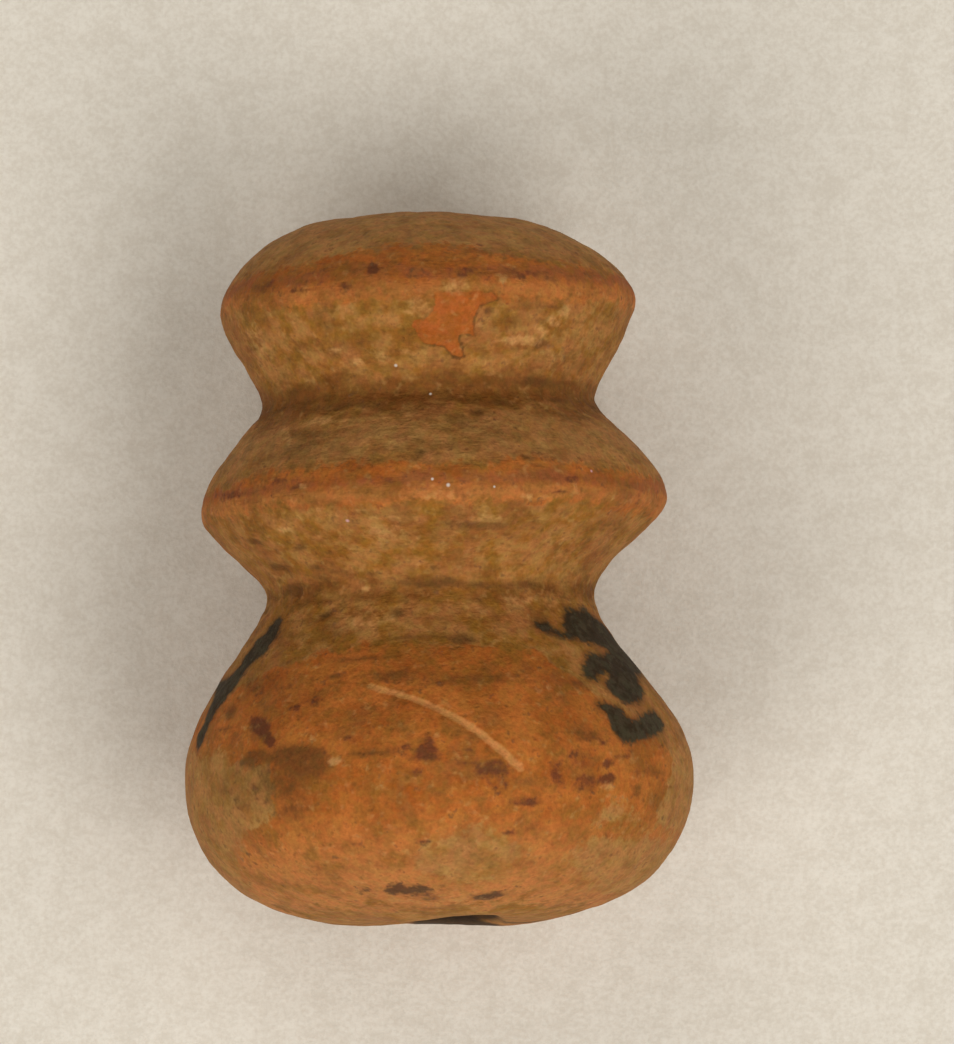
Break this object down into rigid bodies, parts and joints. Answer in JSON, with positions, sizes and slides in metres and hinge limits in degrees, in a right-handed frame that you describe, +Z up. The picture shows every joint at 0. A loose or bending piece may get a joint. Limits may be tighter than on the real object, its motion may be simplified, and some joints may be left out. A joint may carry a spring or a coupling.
{
  "type": "spindle whorl",
  "caption": "Small hand-shaped clay spindle whorl lying on its side: broad belly, sharp middle ridge, domed crown and a straight bore from end to end.",
  "frame": {"origin": "middle of the footprint box, on the surface that the whorl lies on", "axes": "+Y along the whorl's length, towards the crown end; +Z up; the whorl's own axis lies in the YZ plane and dips 4.7 degrees below +Y, because it rests on its belly and on its smaller middle ridge"},
  "size_m": [0.018, 0.0252, 0.0177],
  "materials": {
    "fired_clay": "matt low-fired clay, orange and tan slip worn through in patches, streaks of black paint"
  },
  "bodies": {
    "root": {"whorl": "fired_clay"}
  },
  "joints": []
}
